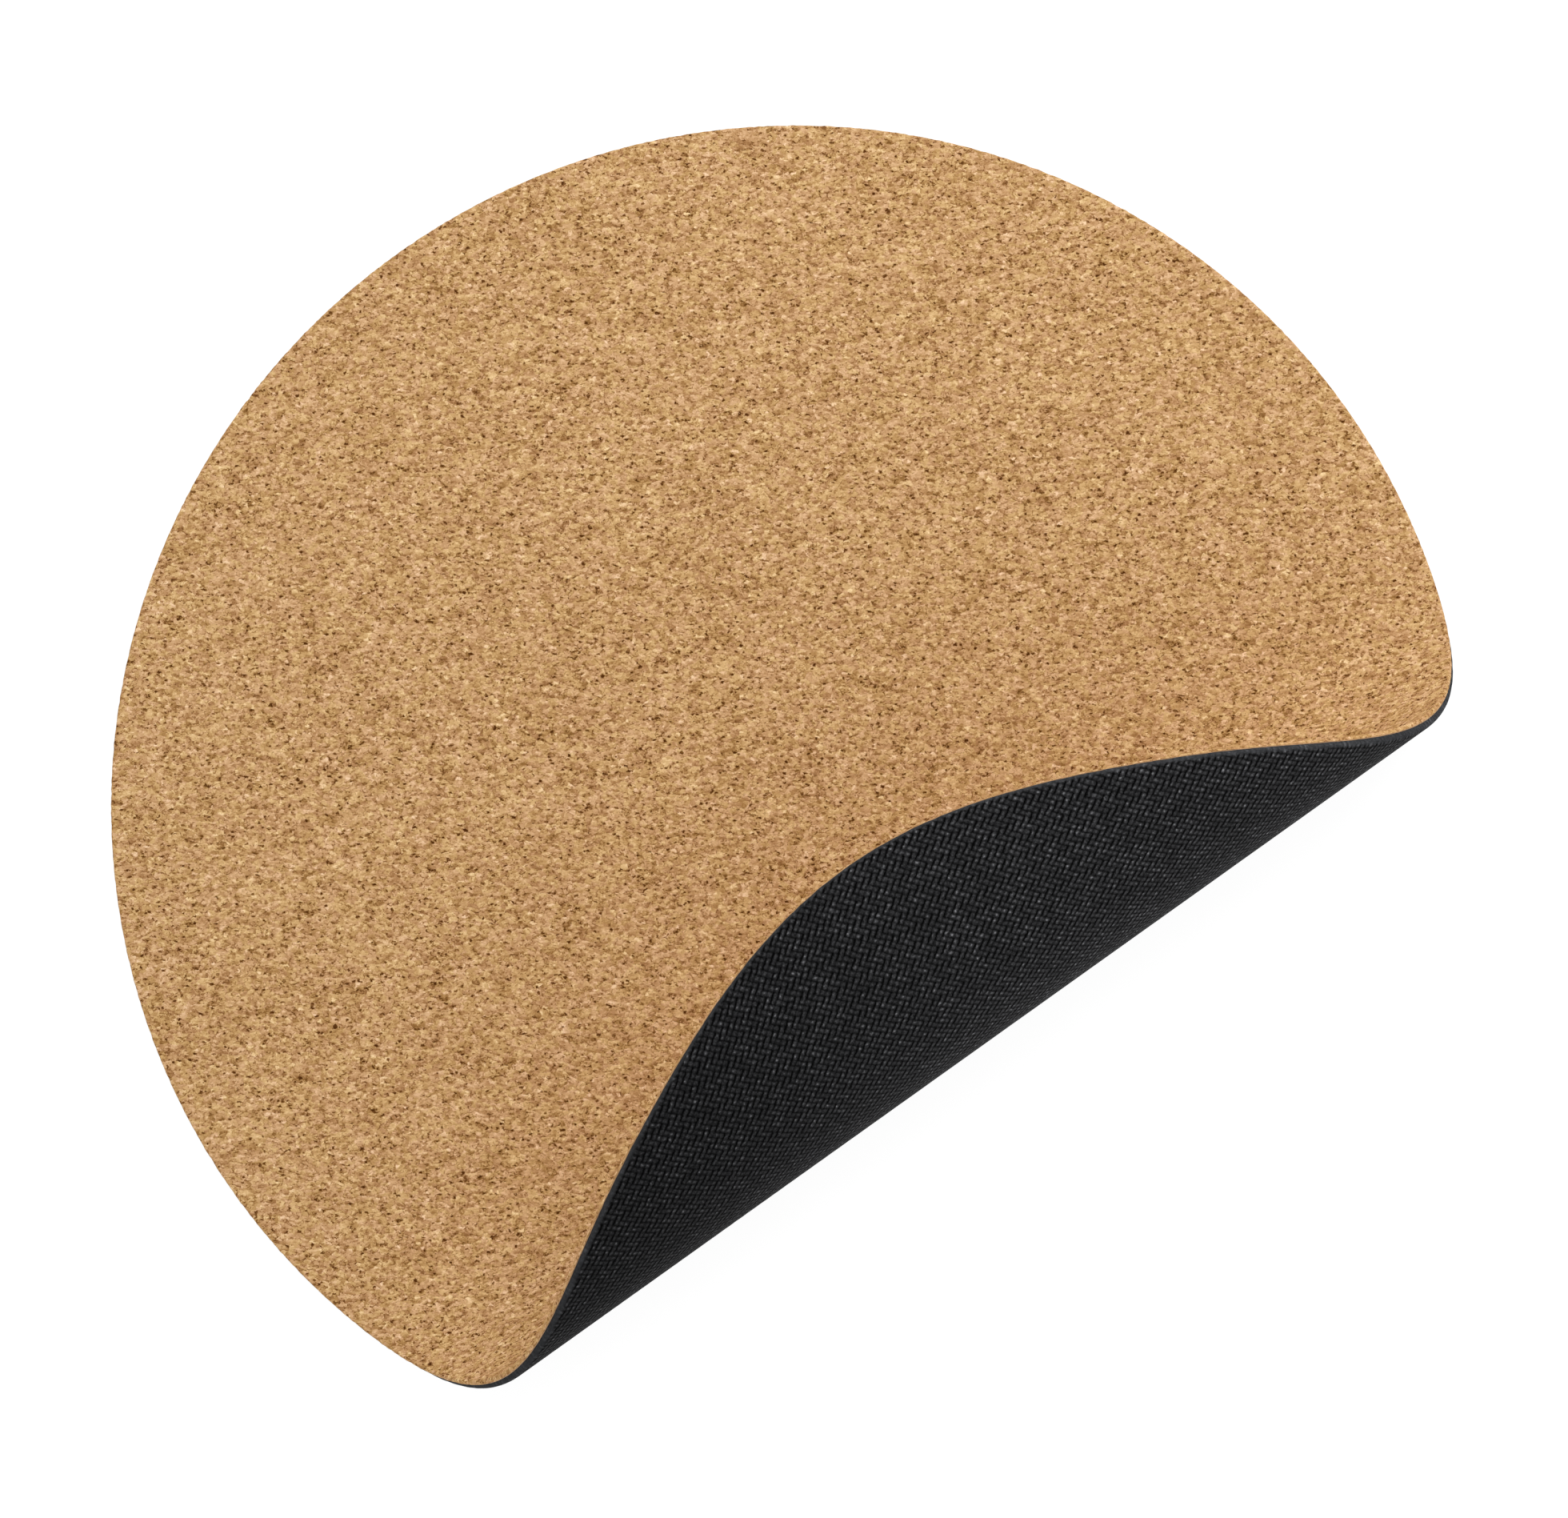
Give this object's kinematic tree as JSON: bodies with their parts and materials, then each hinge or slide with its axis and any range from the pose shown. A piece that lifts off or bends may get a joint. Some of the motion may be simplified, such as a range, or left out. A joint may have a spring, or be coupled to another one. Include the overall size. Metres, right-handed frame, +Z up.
{
  "type": "round cork mouse mat",
  "caption": "Round cork mat on a textured black rubber base, lying flat with one edge curled up and back over itself.",
  "frame": {"origin": "centre of the disc, on the underside of the flat part, which is the surface the mat lies on", "axes": "+Z up out of the cork face, +X along the fold, -Y towards the curled edge"},
  "size_m": [0.22, 0.1646, 0.0557],
  "materials": {
    "rubber": "matte, moulded with a fine woven imprint",
    "adhesive": "thin dried contact adhesive",
    "cork": "sanded agglomerated cork, matte"
  },
  "bodies": {
    "root": {"rubber_base": "rubber", "adhesive_film": "adhesive", "cork_sheet": "cork"}
  },
  "joints": []
}
